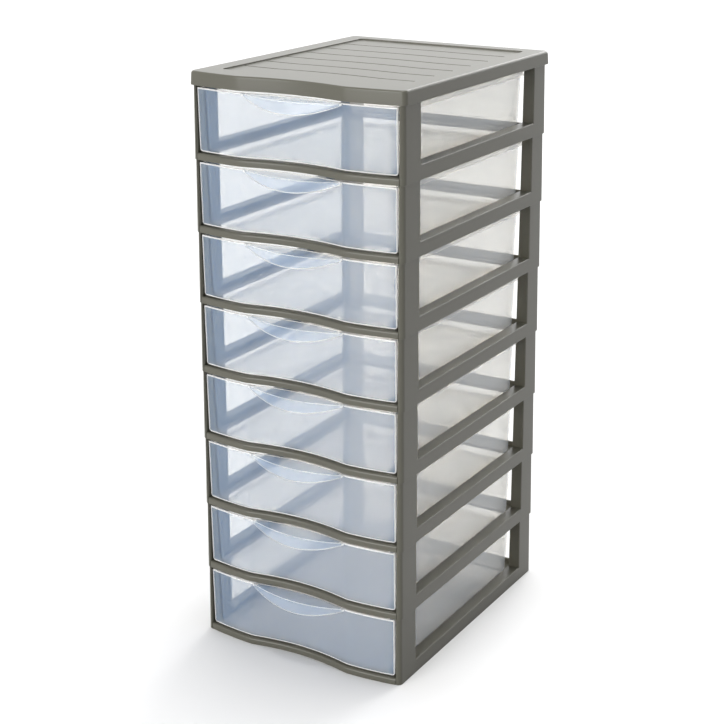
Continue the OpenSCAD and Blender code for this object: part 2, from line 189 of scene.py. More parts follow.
class Shape:
    """Values that follow from the sizes, and the front's curve."""

    def __init__(self):
        scene = bpy.context.scene
        self.t, self.d = scene.tower_sizes, scene.drawer_sizes
        t, d = self.t, self.d
        self.half_w, self.half_d = t.width / 2, t.depth / 2
        self.top = t.pitch - d.top_gap
        self.floor = t.runner_top + d.run_gap
        self.foot = self.floor - d.front_drop
        self.opening = self.half_w - t.front_face
        self.front_half = self.opening - d.front_play
        self.tray_top = self.half_w - t.front_post - d.side_play - d.rim
        # Crests, where the hollow's parabola meets the bowed outer parts
        slope = math.tan(t.flare_angle)
        a = 0.5 / t.hollow_radius + 0.5 / t.flare_radius
        b = slope - self.half_w / t.flare_radius
        c = self.half_w**2 / (2 * t.flare_radius) - slope * self.half_w - t.corner_step
        self.crest = (math.sqrt(b * b - 4 * a * c) - b) / (2 * a)
        self.shift = 0
        self.crest_y = float(self.front(self.crest)) + d.set_top
        # The box round the whole tower is centred, so everything moves back by this
        self.shift = -(self.crest_y - d.reach - d.rake + self.half_d + t.lid_lip) / 2
        self.crest_y += self.shift
        self.front_post_y = t.front_post_depth - self.half_d + self.shift
        self.rear_post_y = self.half_d - t.rear_post_depth + self.shift
        self.step_y = t.post_step - self.half_d + self.shift
        self.rear = self.half_d + self.shift
        self.tray_rear = self.rear_post_y - d.stop_gap - d.rim

    def front(self, x, curve=1.0):
        """y of the front at x.

        The forward reach is the softened lower of a = x^2 / 2R and
        b = step + tan(flare) e - e^2 / 2F, where e is the distance from the corner:
        (a + b - sqrt((a - b)^2 + soft^2)) / 2. A curve below 1 flattens it.
        """
        t = self.t
        e = self.half_w - np.abs(x)
        a = np.square(x) / (2 * t.hollow_radius)
        b = t.corner_step + math.tan(t.flare_angle) * e - e * e / (2 * t.flare_radius)
        wave = (a + b - np.sqrt((a - b) ** 2 + t.crest_soft**2)) / 2
        return self.shift + t.corner_step - self.half_d - curve * wave

    def slope(self, x, curve=1.0):
        """Angle in plan at which the front runs back at x, in its outer part."""
        t = self.t
        return np.arctan(curve * (math.tan(t.flare_angle) - (self.half_w - x) / t.flare_radius))

    def set_back(self, z):
        """How far the drawer front lies behind the rail's face at height z."""
        d = self.d
        return d.set_foot + (d.set_top - d.set_foot) * (z - self.foot) / (self.top - self.foot)

    def front_foot(self, x):
        """Height of the drawer front's lower edge at x, with its rounded corners."""
        r = self.d.foot_corner
        in_corner = np.clip(np.abs(x) - (self.front_half - r), 0, r)
        return self.foot + r - np.sqrt(r**2 - in_corner**2)

    def outline(self, half, set_back, rear, r_front, r_rear, curve=1.0, across=48, arc=10):
        """Closed outlines in plan, one for each value of the arrays given, with the curved front.

        From the middle of the front to the right: the front y = front(x) + set_back up to
        x = half - r_front, an arc tangent to it, the side, an arc of r_rear, and the back.
        """
        column = [np.atleast_1d(np.asarray(v, float))[:, None] for v in
                  (half, set_back, rear, r_front, r_rear, curve)]
        half, set_back, rear, r_front, r_rear, curve = np.broadcast_arrays(*column)
        u = np.linspace(0, 1, across)[None, :]
        x_end = half - r_front
        tilt = self.slope(x_end, curve)
        x_front = x_end * u
        y_front = self.front(x_front, curve) + set_back
        turn = (tilt - math.pi / 2) * (1 - np.linspace(0, 1, arc)[None, 1:])
        y_centre = self.front(x_end, curve) + set_back + r_front / np.cos(tilt)
        quarter = math.pi / 2 * np.linspace(0, 1, arc)[None, :]
        back = 1 - np.linspace(0, 1, across // 2)[None, 1:]
        x = np.concatenate([x_front, x_end + r_front * np.cos(turn),
                            half - r_rear + r_rear * np.cos(quarter), (half - r_rear) * back], 1)
        y = np.concatenate([y_front, y_centre + r_front * np.sin(turn),
                            rear - r_rear + r_rear * np.sin(quarter), rear + 0 * back * half], 1)
        return np.stack([np.concatenate([x, -x[:, -2:0:-1]], 1),
                         np.concatenate([y, y[:, -2:0:-1]], 1)], 2)


def mm(value):
    """Millimetres in metres."""
    return value / 1000


def rounded(corners, steps=4):
    """Closed section through corners (a, b, radius), each rounded by an arc tangent to its sides."""
    points = []
    for i, (a, b, r) in enumerate(corners):
        here = np.array([a, b])
        before = np.array(corners[i - 1][:2]) - here
        after = np.array(corners[(i + 1) % len(corners)][:2]) - here
        before, after = before / np.linalg.norm(before), after / np.linalg.norm(after)
        if r == 0:
            points.append(here[None])
            continue
        half = np.arccos(np.clip(before @ after, -1, 1)) / 2
        bisector = (before + after) / np.linalg.norm(before + after)
        centre = here + bisector * r / math.sin(half)
        start = here + before * r / math.tan(half) - centre
        end = here + after * r / math.tan(half) - centre
        sweep = math.atan2(start[0] * end[1] - start[1] * end[0], start @ end)
        a = math.atan2(start[1], start[0]) + sweep * np.linspace(0, 1, steps + 1)
        points.append(centre + r * np.stack([np.cos(a), np.sin(a)], 1))
    return np.concatenate(points)


def inset(outline, amount):
    """Closed outline moved inwards by amount along its normals, for outlines that run anticlockwise."""
    along = np.roll(outline, -1, 0) - np.roll(outline, 1, 0)
    along /= np.linalg.norm(along, axis=1, keepdims=True)
    return outline + amount * np.stack([-along[:, 1], along[:, 0]], 1)


def loft(rings):
    """Solid through closed rings, an array of rings x points x 3, with its ends filled.

    Faces are turned outwards: the signed volume, the sum of p0 . (p1 x p2) / 6 over the
    triangles, is made positive.
    """
    count, around = rings.shape[:2]
    i = np.arange(count - 1)[:, None] * around
    j = np.arange(around)[None, :]
    k = (j + 1) % around
    quads = np.stack([i + j, i + k, i + around + k, i + around + j], 2).reshape(-1, 4)
    ends = [np.arange(around)[::-1], np.arange(around) + (count - 1) * around]
    points = rings.reshape(-1, 3)
    fans = [np.stack([np.full(around - 2, e[0]), e[1:-1], e[2:]], 1) for e in ends]
    triangles = np.concatenate([quads[:, :3], quads[:, [0, 2, 3]], *fans])
    p = points[triangles]
    volume = np.einsum("ij,ij->", p[:, 0], np.cross(p[:, 1], p[:, 2]))
    faces = quads.tolist() + [e.tolist() for e in ends]
    return points, faces if volume > 0 else [f[::-1] for f in faces]


def block(low, high):
    """Box between two corners."""
    (x0, y0, z0), (x1, y1, z1) = low, high
    ring = np.array([[x0, y0], [x1, y0], [x1, y1], [x0, y1]])
    return upright(ring, [z0, z1])


def upright(outline, heights, insets=None):
    """Solid on an outline in plan, with a ring at each height, moved inwards by each inset."""
    insets = insets or [0] * len(heights)
    rings = [np.column_stack([inset(outline, i) if i else outline, np.full(len(outline), z)])
             for z, i in zip(heights, insets)]
    return loft(np.array(rings))


def swept(section, x=None, y=None, front=None):
    """Solid with a closed section, drawn along x or along y.

    Along y the section is (x, z), along x it is (y, z), and with a front curve its first
    coordinate is measured back from that curve.
    """
    a, b = section[None, :, 0], section[None, :, 1]
    if y is not None:
        along = np.asarray(y, float)[:, None]
        parts = (a, along, b)
    else:
        along = np.asarray(x, float)[:, None]
        parts = (along, a if front is None else a + front(along), b)
    return loft(np.stack(np.broadcast_arrays(*parts), 2))


def mirrored(solid):
    """The solid on the other side of the tower's middle."""
    points, faces = solid
    return points * [-1, 1, 1], [f[::-1] for f in faces]


def both_sides(*solids):
    """The solids and their mirror images."""
    return [s for solid in solids for s in (solid, mirrored(solid))]


def mesh_object(name, solid):
    """Object with a solid's mesh."""
    mesh = bpy.data.meshes.new(name)
    mesh.from_pydata(solid[0].tolist(), [], solid[1])
    made = bpy.data.objects.new(name, mesh)
    bpy.context.scene.collection.objects.link(made)
    return made


def combined(name, first, steps):
    """Mesh of a solid after steps (operation, solid), each a Boolean with that solid."""
    base = mesh_object(name, first)
    helpers = []
    for operation, solid in steps:
        helper = mesh_object(name + "_helper", solid)
        step = base.modifiers.new(operation, "BOOLEAN")
        step.operation, step.solver, step.object = operation, "MANIFOLD", helper
        helpers.append(helper)
    evaluated = base.evaluated_get(bpy.context.evaluated_depsgraph_get())
    mesh = bpy.data.meshes.new_from_object(evaluated)
    if len(mesh.polygons) <= len(base.data.polygons):
        raise RuntimeError(f"the solids of {name} could not be combined")
    mesh.materials.clear()
    for o in [base, *helpers]:
        old = o.data
        bpy.data.objects.remove(o)
        bpy.data.meshes.remove(old)
    return mesh


def face_values(mesh):
    """Centres and normals of a mesh's faces, as arrays."""
    values = []
    for name in ("center", "normal"):
        v = np.empty(len(mesh.polygons) * 3)
        mesh.polygons.foreach_get(name, v)
        values.append(v.reshape(-1, 3))
    return values


def place(mesh, name, lift, body, node, materials):
    """Finished piece from a copy of a mesh, lifted to its place, standing for a CAD node."""
    copy = mesh.copy()
    copy.name = name
    points = np.empty(len(copy.vertices) * 3, np.float32)
    copy.vertices.foreach_get("co", points)
    points[2::3] += lift
    copy.vertices.foreach_set("co", points)
    for material in materials:
        copy.materials.append(material)
    copy.polygons.foreach_set("use_smooth", np.ones(len(copy.polygons), bool))
    copy.set_sharp_from_angle(angle=SHARP_EDGE)
    copy.update()
    piece = bpy.data.objects.new(name, copy)
    bpy.context.scene.collection.objects.link(piece)
    even = piece.modifiers.new("Even shading", "WEIGHTED_NORMAL")
    even.keep_sharp = True
    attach(piece, body)
    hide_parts(node)
    return piece


def seamed_post(s, outline):
    """Upright post on an outline in plan, drawn in a little at the seams above and below."""
    edge, pitch = s.t.seam, s.t.pitch
    near = edge * 0.3
    return upright(outline, [0, near, edge, pitch - edge, pitch - near, pitch],
                   [edge, near, 0, 0, near, edge])


def front_post(s):
    """Upright front post: its outline in plan with a rounded front corner and small edges."""
    t = s.t
    tilt = float(s.slope(s.half_w - t.front_corner))
    x, r = s.half_w - t.front_corner, t.front_corner
    y = float(s.front(x)) + r / math.cos(tilt)
    a = np.linspace(tilt - math.pi / 2, 0, 9)
    corner = np.stack([x + r * np.cos(a), y + r * np.sin(a)], 1)
    start = float(s.front(s.opening))
    inner = s.half_w - t.front_post
    rest = rounded([
        (s.half_w, s.front_post_y, mm(1)),
        (inner, s.front_post_y, mm(0.8)),
        (inner, s.step_y, mm(0.5)),
        (s.opening, s.step_y, mm(0.5)),
        (s.opening, start, mm(0.7)),
        (s.half_w, y, 0),
    ])
    return seamed_post(s, np.concatenate([corner, rest[:-1]]))


def rear_post(s):
    """Upright rear post."""
    t = s.t
    inner = s.half_w - t.rear_post
    outline = rounded([
        (inner, s.rear_post_y, mm(0.8)),
        (s.half_w, s.rear_post_y, mm(1)),
        (s.half_w, s.rear, t.rear_corner),
        (inner, s.rear, mm(0.8)),
    ], steps=6)
    return seamed_post(s, outline)


def sockets(s, low, high, play):
    """Blocks in the right-hand posts, for the hollow of a foot or the spigot that enters it."""
    t, w = s.t, s.t.wall + play
    return [
        block((s.half_w - t.front_post + w, s.step_y + w, low),
              (s.half_w - w, s.front_post_y - w, high)),
        block((s.half_w - t.rear_post + w, s.rear_post_y + w, low),
              (s.half_w - w, s.rear - w, high)),
    ]


def side_rail(s):
    """Outer wall with its ledge, and the web and runner inside it."""
    t = s.t
    inner, outer = s.half_w - t.wall, s.half_w
    ledge, under = s.half_w - t.ledge, t.side_rail - t.ledge_thick
    buried = t.wall / 2
    wall = rounded([
        (inner, 0, mm(0.3)),
        (outer, 0, t.seam),
        (outer, t.side_rail, mm(1)),
        (ledge, t.side_rail, mm(0.6)),
        (ledge, under, mm(0.3)),
        (inner, under, mm(0.6)),
    ])
    web = ledge + t.wall
    post = s.half_w - t.front_post + buried
    low = t.runner_top - t.ledge_thick
    runner = rounded([
        (ledge - t.runner, low, mm(0.5)),
        (web, low, mm(0.5)),
        (web, under + mm(0.1), mm(0.4)),
        (post, under + mm(0.1), mm(0.3)),
        (post, t.side_rail - mm(0.02), mm(0.3)),
        (ledge + mm(0.02), t.side_rail - mm(0.02), mm(0.5)),
        (ledge + mm(0.02), t.runner_top, mm(0.6)),
        (ledge - t.runner, t.runner_top, mm(0.5)),
    ])
    back = s.rear_post_y + buried
    return [swept(wall, y=[s.front_post_y - buried, back]), swept(runner, y=[s.step_y, back])]


def front_rail(s):
    """Angle section that follows the front's curve."""
    t = s.t
    under = t.front_rail - t.ledge_thick
    section = rounded([
        (0, 0, t.seam),
        (0, t.front_rail, t.front_rail_round),
        (t.front_rail_depth, t.front_rail, mm(0.5)),
        (t.front_rail_depth, under, mm(0.4)),
        (t.wall, under, mm(0.6)),
        (t.wall, 0, mm(0.3)),
    ])
    end = s.opening + mm(0.4)
    return swept(section, x=np.linspace(-end, end, 121), front=s.front)


def rear_rail(s):
    """Angle section across the back."""
    t = s.t
    section = rounded([
        (s.rear - t.rear_rail_depth, 0, mm(0.4)),
        (s.rear, 0, t.seam),
        (s.rear, t.rear_rail, mm(0.8)),
        (s.rear - t.wall, t.rear_rail, mm(0.8)),
        (s.rear - t.wall, t.ledge_thick, mm(0.6)),
        (s.rear - t.rear_rail_depth, t.ledge_thick, mm(0.6)),
    ])
    end = s.half_w - t.rear_post + t.wall / 2
    return swept(section, x=[-end, end])


def runner_tie(s):
    """Block that joins the front end of a runner to the front rail."""
    t = s.t
    inner, outer = s.half_w - t.ledge - t.runner, s.half_w - t.ledge + t.wall
    top = t.front_rail - mm(0.03)
    return block((inner, float(s.front(outer)) + t.wall / 2, top - t.ledge_thick),
                 (outer, s.step_y + t.wall, top))


def lean_in(mesh, s):
    """Leans a tier's outer sides and back: x and y move in by taper z / pitch at the outside."""
    t = s.t
    p = np.empty(len(mesh.vertices) * 3)
    mesh.vertices.foreach_get("co", p)
    p = p.reshape(-1, 3)
    lean = t.taper * p[:, 2] / t.pitch
    inner = s.half_w - t.front_face
    side = np.clip((np.abs(p[:, 0]) - inner) / (t.front_face - t.wall), 0, 1)
    back = np.clip((p[:, 1] - s.rear + 2 * t.rear_corner) / t.rear_corner, 0, 1)
    p[:, 0] -= np.sign(p[:, 0]) * lean * side
    p[:, 1] -= lean * back
    mesh.vertices.foreach_set("co", p.ravel())
    mesh.update()


class TOWER_OT_tiers(bpy.types.Operator):
    """Build the eight tiers"""

    bl_idname = "tower.tiers"
    bl_label = "Build tiers"
    bl_options = {"REGISTER", "UNDO"}

    def execute(self, context):
        s = Shape()
        t = s.t
        members = both_sides(front_post(s), rear_post(s), *side_rail(s), runner_tie(s))
        members.append(rear_rail(s))
        hollows = both_sides(*sockets(s, -t.wall, t.pitch - t.wall, 0))
        spigots = both_sides(*sockets(s, t.pitch - t.wall / 2, t.pitch + t.spigot, t.spigot_play))
        steps = [("UNION", m) for m in members]
        steps += [("DIFFERENCE", m) for m in hollows] + [("UNION", m) for m in spigots]
        mesh = combined("tier", front_rail(s), steps)
        lean_in(mesh, s)
        material = frame_plastic()
        for k in range(TIERS):
            name = f"tier_{k + 1}"
            place(mesh, name + "_frame", k * t.pitch, "tower", name, [material])
        return {"FINISHED"}


def lid_shell(s):
    """Outer surface of the lid with its sunken panel.

    A ring goes up the outside, over a rounded edge, in over the border, and down a rounded step
    to the panel. The edge is r(u) high, small at the front and large at the sides and back, and
    everywhere as wide as the front's radius, so at the sides and back it isn't a true round.
    """
    t = s.t
    h = t.lid_height
    across, arc = 48, 10
    # Share of the side's rounding at each point: 0 along the front, 1 from the corner's end on
    half_count = across + arc - 1 + arc + across // 2 - 1
    side = np.clip((np.arange(half_count) - across + 1) / (arc - 1), 0, 1)
    side = side * side * (3 - 2 * side)
    side = np.concatenate([side, side[-2:0:-1]])[None, :]
    r = t.lid_front_round + (t.lid_side_round - t.lid_front_round) * side
    lip = mm(0.5)
    turn = np.concatenate([[0, 0, 0], np.linspace(0, math.pi / 2, 9)])[:, None]
    low = np.array([0, lip * 0.3, lip])[:, None]
    z = h - r * (1 - np.sin(turn))
    z[:3] = low
    # How far each ring is drawn in, worked out at the middle of the front and used all round
    inward = t.lid_lean * z[:, 0] / h + t.lid_front_round * (1 - np.cos(turn[:, 0]))
    inward[:3] += np.array([lip, lip * 0.3, 0])
    plan = s.outline(s.half_w + t.lid_lip - inward, inward - t.lid_lip,
                     s.rear + t.lid_lip - inward, t.front_corner, t.rear_corner,
                     across=across, arc=arc)
    outer = np.concatenate([plan, z[..., None]], 2)
    # The step: outset from the panel's outline, and depth below the border
    a = np.linspace(0, math.pi / 2, 5)
    top, foot = mm(0.6), mm(0.3)
    border, inside = mm(1.2), mm(1)
    out = np.concatenate([[border], top * (1 - np.sin(a)), -foot * (1 - np.cos(a)), [-inside]])
    down = np.concatenate([[0], top * (1 - np.cos(a)), t.panel_sink - foot * (1 - np.sin(a)),
                           [t.panel_sink]])
    hole = s.outline(s.half_w - t.panel_side + out, t.panel_front - t.corner_step - out,
                     s.rear - t.panel_rear + out, t.panel_corner + out, t.panel_corner + out,
                     curve=0.0, across=across, arc=arc)
    sunk = np.broadcast_to((h - down)[:, None, None], hole.shape[:2] + (1,))
    return loft(np.concatenate([outer, np.concatenate([hole, sunk], 2)]))


def lid_grooves(s):
    """Cutters for the grooves between the slats, with rounded upper edges.

    Groove i lies at y = middle + bend (front(x) - mean front), straighter towards the back.
    """
    t = s.t
    floor = t.lid_height - t.panel_sink
    w, deep, soft = t.groove / 2 - mm(0.35), mm(1.5), mm(0.35)
    half = [(w + soft, 0.5), (w + soft, 0.02), (w + soft * 0.4, -0.06), (w + soft * 0.1, -0.2)]
    right = [(a, floor + mm(b)) for a, b in half] + [(w * 0.7, floor - deep)]
    section = np.array(right + [(-a, b) for a, b in right[::-1]])
    first, last = t.panel_front - s.half_d + s.shift, s.rear - t.panel_rear
    end = s.half_w - t.panel_side - mm(1.5)
    x = np.linspace(-end, end, 81)
    mean = float(np.mean(s.front(x)))
    most_bend, bend_lost = 0.55, 0.4
    made = []
    for i in range(1, t.slats):
        part = i / t.slats
        bend = most_bend - bend_lost * part
        middle = first + (last - first) * part
        made.append(swept(section, x=x, front=lambda v, b=bend, m=middle: m + b * (s.front(v) - mean)))
    return made


class TOWER_OT_lid(bpy.types.Operator):
    """Build the lid"""

    bl_idname = "tower.lid"
    bl_label = "Build lid"
    bl_options = {"REGISTER", "UNDO"}

    def execute(self, context):
        s = Shape()
        t = s.t
        roof = t.lid_height - t.panel_sink - t.wall
        inside = s.outline(s.half_w + t.lid_lip - t.wall, t.wall - t.lid_lip,
                           s.rear + t.lid_lip - t.wall, t.front_corner - t.wall,
                           t.rear_corner - t.wall / 2)[0]
        space = upright(inside, [-t.wall, roof])
        post, rear = s.half_w - t.front_post, s.half_w - t.rear_post
        grown = mm(0.5)
        sleeves = both_sides(
            block((post, float(s.front(s.half_w)) + mm(1), 0),
                  (s.half_w - grown, s.front_post_y, roof + grown)),
            block((rear, s.rear_post_y, 0), (s.half_w - grown, s.rear - grown, roof + grown)),
        )
        steps = [("DIFFERENCE", space)] + [("UNION", m) for m in sleeves]
        steps += [("DIFFERENCE", m) for m in both_sides(*sockets(s, -t.wall, roof, 0))]
        steps += [("DIFFERENCE", m) for m in lid_grooves(s)]
        mesh = combined("lid", lid_shell(s), steps)
        place(mesh, "lid_cover", TIERS * t.pitch, "tower", "lid", [frame_plastic()])
        return {"FINISHED"}


def tray(s):
    """Tray: one ring up the inside from the floor, over the top and down the outside.

    Each ring is an outline of half width foot + lean (z - floor) / height - inset.
    """
    d = s.d
    t, r, ri = d.wall, d.foot_round, d.foot_round - d.wall / 2
    a = np.linspace(0, math.pi / 2, 5)
    top = s.top - mm(0.3)
    inner_in = np.concatenate([[t + ri + mm(1)], t + ri * (1 - np.sin(a)), [t, t + mm(0.05)]])
    inner_z = np.concatenate([[s.floor + t], s.floor + t + ri * (1 - np.cos(a)),
                              [top - mm(1), top]])
    outer_in = np.concatenate([[mm(0.05), 0], r * (1 - np.sin(a))[::-1], [r + mm(1)]])
    outer_z = np.concatenate([[top, top - mm(1)], s.floor + r * (1 - np.cos(a))[::-1], [s.floor]])
    z = np.concatenate([inner_z, outer_z])
    depth = np.concatenate([inner_in, outer_in])
    inside = np.concatenate([np.full(len(inner_z), d.front_thick + mm(0.3) - t),
                             np.full(len(outer_z), d.front_thick / 2)])
    half = s.tray_top - d.lean * (s.top - z) / (s.top - s.floor)
    rear = s.tray_rear + half - s.tray_top
    plan = s.outline(half - depth, s.set_back(z) + inside + depth, rear - depth, d.corner, d.corner)
    return loft(np.concatenate([plan, np.broadcast_to(z[:, None, None], plan.shape[:2] + (1,))], 2))


def rim(s):
    """Flange round the tray's mouth with its edge turned down, as a section along a U.

    A point is B(u) + n N(u), where B is the U of the tray's outer wall at the top, N its normal
    and n the section's distance outwards. Where the lip has another height at the rear, it
    changes over a short blend before the rear corner.
    """
    d = s.d
    out, t = d.rim, d.rim_thick
    under = s.top - d.wall
    section = rounded([
        (-d.wall - mm(0.02), s.top, mm(0.5)),
        (-d.wall - mm(0.02), under, mm(0.3)),
        (out - t, under, mm(0.5)),
        (out - t, s.top - d.side_lip, mm(0.4)),
        (out, s.top - d.side_lip, mm(0.5)),
        (out, s.top, mm(0.8)),
    ])
    start = float(s.front(s.tray_top)) + d.set_top + d.front_thick * 0.75
    rear, blend = s.tray_rear, mm(12)
    blend_start = rear - d.corner - blend
    a = np.linspace(0, math.pi / 2, 9)
    x = np.concatenate([[s.tray_top] * 2, s.tray_top - d.corner * (1 - np.cos(a)), [0]])
    y = np.concatenate([[start, blend_start], rear - d.corner * (1 - np.sin(a)), [rear]])
    normal = np.concatenate([[0, 0], a, [math.pi / 2]])
    x, y = np.concatenate([x, -x[-2::-1]]), np.concatenate([y, y[-2::-1]])
    normal = np.concatenate([normal, math.pi - normal[-2::-1]])
    n, z = section[None, :, 0], section[None, :, 1]
    behind = np.clip((y - blend_start) / blend, 0, 1)[:, None]
    drop = (d.rear_lip - d.side_lip) * behind * (z < under - mm(1))
    rings = [x[:, None] + n * np.cos(normal)[:, None], y[:, None] + n * np.sin(normal)[:, None],
             z - drop]
    return loft(np.stack(np.broadcast_arrays(*rings), 2))


def drawer_front(s):
    """Thin curved plate with rounded edges and rounded lower corners.

    Its middle surface is y = front(x) + set_back(z) + thickness / 2. Half its thickness is
    (thickness / 2) e(b) e(c), with e(b) = sqrt(1 - (1 - b / rho)^2) within rho of an edge, for
    the distances b and c to the lower or upper edge and to the side.
    """
    d = s.d
    half = s.front_half
    rho = mm(0.8)
    ends = half - mm(np.array([0.02, 0.1, 0.25, 0.5, 0.8, 1.2, 1.7, 2.3, 3]))
    x = np.concatenate([-ends, np.linspace(-half + mm(4), half - mm(4), 121), ends[::-1]])[:, None]
    foot = s.front_foot(x)
    near = mm(np.array([0, 0.06, 0.2, 0.45, 0.8, 1.3]))
    part = np.linspace(0, 1, 17)[None, 1:-1]
    height = s.top - foot
    up = np.concatenate([near + 0 * x, near[-1] + (height - 2 * near[-1]) * part,
                         height - near[::-1]], 1)
    z = foot + up
    edge = np.clip(np.minimum(up, height - up) / rho, 0, 1)
    side = np.clip((half - np.abs(x)) / rho, 0, 1)
    thick = d.front_thick / 2 * np.sqrt(1 - (1 - edge) ** 2) * np.sqrt(1 - (1 - side) ** 2)
    middle = s.front(x) + s.set_back(z) + d.front_thick / 2
    sheet = [np.stack([x + 0 * z, middle + sign * thick, z], 2) for sign in (-1, 1)]
    return loft(np.concatenate([sheet[0], sheet[1][:, -2:0:-1]], 1))


def grip(s):
    """Crescent lip with an apron, open below.

    With w(x) = 1 - (x / crest)^2, the lip's front edge is crest_y - reach w, its top falls by
    droop w, and the apron's lower edge is apron_end + apron w below the top, rake w further out.
    Its ends are thinner and run a little way into the drawer front.
    """
    d = s.d
    x = s.crest * np.sin(np.linspace(-math.pi / 2, math.pi / 2, 81))[:, None]
    w = 1 - (x / s.crest) ** 2
    thin_end, growth, sunk = 0.25, 1.6, mm(0.3)
    g = d.grip_thick * np.minimum(1, thin_end + growth * w)
    root = s.front(x) + d.set_top + d.front_thick / 2
    tip = s.crest_y + sunk - (d.reach + sunk) * w
    top, root_top = s.top - d.droop * w, s.top - mm(0.05) + 0 * w
    low = s.top - d.apron_end - d.apron * w
    foot = tip - d.rake * w
    soft = g * 0.9
    a = np.linspace(0, math.pi / 2, 6)[None, :]
    outer_y = tip + soft * (1 - np.sin(a))
    outer_z = top - soft * (1 - np.cos(a))
    inner_r = soft * 0.35
    inner_y = tip + g + inner_r * (1 - np.sin(a[:, ::-1]))
    inner_z = top - g - inner_r * (1 - np.cos(a[:, ::-1]))
    b = np.linspace(0, math.pi, 7)[None, 1:-1]
    edge_y = foot + g / 2 - g / 2 * np.cos(b)
    edge_z = low + g / 2 - g / 2 * np.sin(b)
    y = np.concatenate([root, outer_y, foot, edge_y, foot + g, inner_y, root], 1)
    z = np.concatenate([root_top, outer_z, low + g / 2, edge_z, low + g / 2, inner_z,
                        root_top - g], 1)
    return loft(np.stack([x + 0 * y, y, z], 2))


def bead(s):
    """Low round bead along the tray's floor."""
    d = s.d
    a = np.linspace(0, math.pi, 7)
    r, sunk = mm(0.7), mm(0.2)
    root = s.floor + d.wall / 2
    section = np.concatenate([
        np.stack([d.bead_x + r * np.cos(a), s.floor + d.wall - sunk + r * np.sin(a)], 1),
        [[d.bead_x - r, root], [d.bead_x + r, root]],
    ])
    start, rear_gap = float(s.front(d.bead_x)) + d.set_foot + d.front_thick, mm(8)
    return swept(section, y=[start, s.rear_post_y - rear_gap])


def painted_edge_highlights(mesh, s):
    """True for the faces painted as highlights: a whiter, nearly opaque haze on them stands in for the
    light gathered in the plastic at the thin edges, and for the gloss on the grip's fold.

    They are the outer edge of the drawer front, the lower edge and the fold of the grip, and the
    outer corner of the rim.
    """
    d = s.d
    centre, normal = face_values(mesh)
    x, y, z = centre.T
    half, slack, wide = s.front_half, mm(0.2), mm(1.1)
    at_front = y < s.front(np.clip(x, -half, half)) + d.set_foot + d.front_thick + slack
    outline = (z > s.top - wide) | (np.abs(x) > half - wide) | (z < s.front_foot(x) + wide)
    w = 1 - (x / s.crest) ** 2
    in_grip = (np.abs(x) < s.crest) & (y < s.front(x) + d.set_top - mm(0.6))
    low = s.top - d.apron_end - d.apron * w
    lower = in_grip & (z < low + d.grip_thick * 0.8)
    # The fold, painted as a highlight for its gloss, is the middle of the rounding between the grip's
    # top and its apron
    tip, fold_deep = s.crest_y - d.reach * w, mm(1.5)
    fold_up, fold_range = 0.72, 0.12
    fold = in_grip & (y < tip + fold_deep) & (np.abs(normal[:, 2] - fold_up) < fold_range)
    rim_x, corner = s.tray_top + d.rim, mm(0.8)
    lip = (np.abs(x) > rim_x - corner) & (np.abs(x) < rim_x + mm(0.1)) & (z > s.top - corner)
    return (at_front & outline & ~in_grip) | lower | fold | (lip & ~at_front)


def matt_faces(mesh, s):
    """True for the faces with a fine matt texture: the floor, the rear wall and the rim's lip."""
    d = s.d
    centre, normal = face_values(mesh)
    x, y, z = centre.T
    mostly = 0.7
    level, crosswise = np.abs(normal[:, 2]) > mostly, np.abs(normal[:, 1]) > mostly
    floor = level & (z < s.floor + d.wall + mm(1))
    rear = crosswise & (y > s.tray_rear - d.lean - d.wall - mm(0.5))
    behind_front = y > s.front(0) + mm(20)
    lip = (np.abs(x) > s.tray_top + d.rim - mm(0.3)) & behind_front
    return floor | rear | lip


class TOWER_OT_drawers(bpy.types.Operator):
    """Build the eight drawers"""

    bl_idname = "tower.drawers"
    bl_label = "Build drawers"
    bl_options = {"REGISTER", "UNDO"}

    def execute(self, context):
        s = Shape()
        steps = [("UNION", m) for m in (rim(s), drawer_front(s), grip(s), *both_sides(bead(s)))]
        mesh = combined("drawer", tray(s), steps)
        looks = context.scene.tower_looks
        materials = [
            drawer_plastic("moulded_clear", looks.clear_colour, looks.clear_tint, looks.clear_haze),
            # Painted highlights: a whiter, nearly opaque haze on the thin edges and the grip's fold
            drawer_plastic("clear_painted_highlight", looks.painted_highlight_colour, looks.clear_tint, looks.painted_highlight_share),
            drawer_plastic("clear_matt", looks.matt_colour, looks.clear_tint, looks.matt_haze),
        ]
        kind = np.where(painted_edge_highlights(mesh, s), 1, 2 * matt_faces(mesh, s))
        mesh.polygons.foreach_set("material_index", kind.astype(np.int32))
        for k in range(TIERS):
            name = f"drawer_{k + 1}"
            place(mesh, name + "_tray", k * s.t.pitch, name, name, materials)
        return {"FINISHED"}


def new_material(name):
    """Material with its nodes, its Principled BSDF and its output."""
    material = bpy.data.materials.new(name)
    material.use_nodes = True
    nodes = material.node_tree.nodes
    return material, nodes, nodes["Principled BSDF"], nodes["Material Output"]


def frame_plastic():
    """Dark warm grey moulded plastic with a fine grain."""
    looks = bpy.context.scene.tower_looks
    if "moulded_grey" in bpy.data.materials:
        return bpy.data.materials["moulded_grey"]
    material, nodes, shader, _ = new_material("moulded_grey")
    links = material.node_tree.links
    coordinates = nodes.new("ShaderNodeTexCoord")
    grain = nodes.new("ShaderNodeTexNoise")
    grain.inputs["Scale"].default_value = 1400
    grain.inputs["Detail"].default_value = 2
    links.new(coordinates.outputs["Object"], grain.inputs["Vector"])
    bump = nodes.new("ShaderNodeBump")
    bump.inputs["Strength"].default_value = 0.12
    bump.inputs["Distance"].default_value = 0.0001
    links.new(grain.outputs["Fac"], bump.inputs["Height"])
    links.new(bump.outputs["Normal"], shader.inputs["Normal"])
    shader.inputs["Base Color"].default_value = (*looks.frame_colour, 1)
    shader.inputs["Roughness"].default_value = looks.frame_rough
    shader.inputs["Specular IOR Level"].default_value = looks.frame_gloss
    return material


